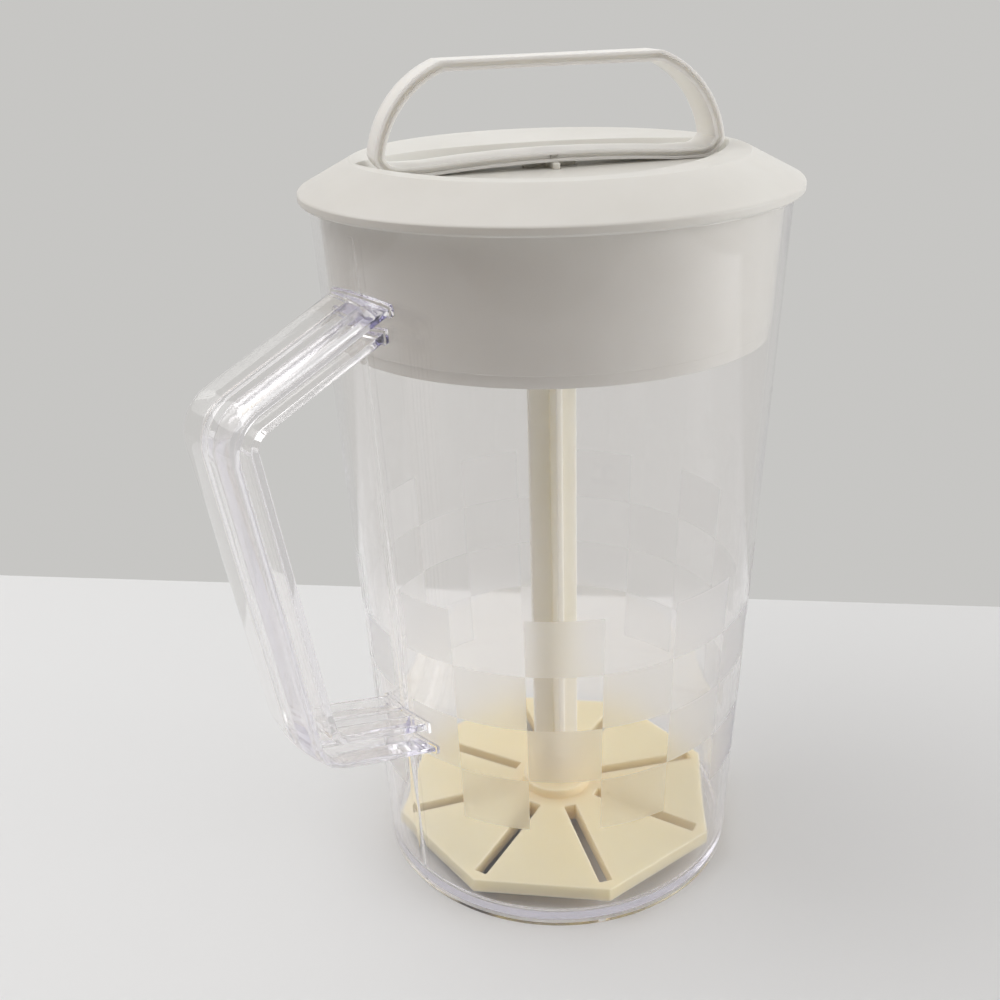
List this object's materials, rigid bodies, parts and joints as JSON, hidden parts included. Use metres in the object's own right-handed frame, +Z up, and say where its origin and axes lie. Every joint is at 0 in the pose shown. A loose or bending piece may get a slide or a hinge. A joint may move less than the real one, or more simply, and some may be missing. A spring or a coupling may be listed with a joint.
{
  "type": "stirring pitcher",
  "caption": "Tapered clear jug with a side handle and a white domed lid, through which a bail grip works a finned rod and a slotted octagonal mixing plate up and down.",
  "frame": {"origin": "on the jug's axis, on the plane of its foot ring", "axes": "+Z up along the jug's axis; -X towards the handle, +X towards the pouring lip; Y across"},
  "size_m": [0.1862, 0.1386, 0.2484],
  "materials": {
    "clear_plastic": "clear, polished, with a faint violet cast and a frosted check pattern on the wall",
    "white_plastic": "warm white, satin",
    "cream_plastic": "cream, satin"
  },
  "bodies": {
    "jug": {"jug_body": "clear_plastic", "jug_handle": "clear_plastic"},
    "lid": {"lid": "white_plastic"},
    "plunger": {"plunger_grip": "white_plastic", "plunger_rod": "cream_plastic", "mixing_plate": "cream_plastic"}
  },
  "joints": [
    {"name": "lid_lift", "type": "slide", "parent": "jug", "child": "lid", "axis": [0, 0, 1], "range_m": [0, 0.215]},
    {"name": "plunger_stroke", "type": "slide", "parent": "lid", "child": "plunger", "axis": [0, 0, 1], "range_m": [0, 0.194]}
  ]
}
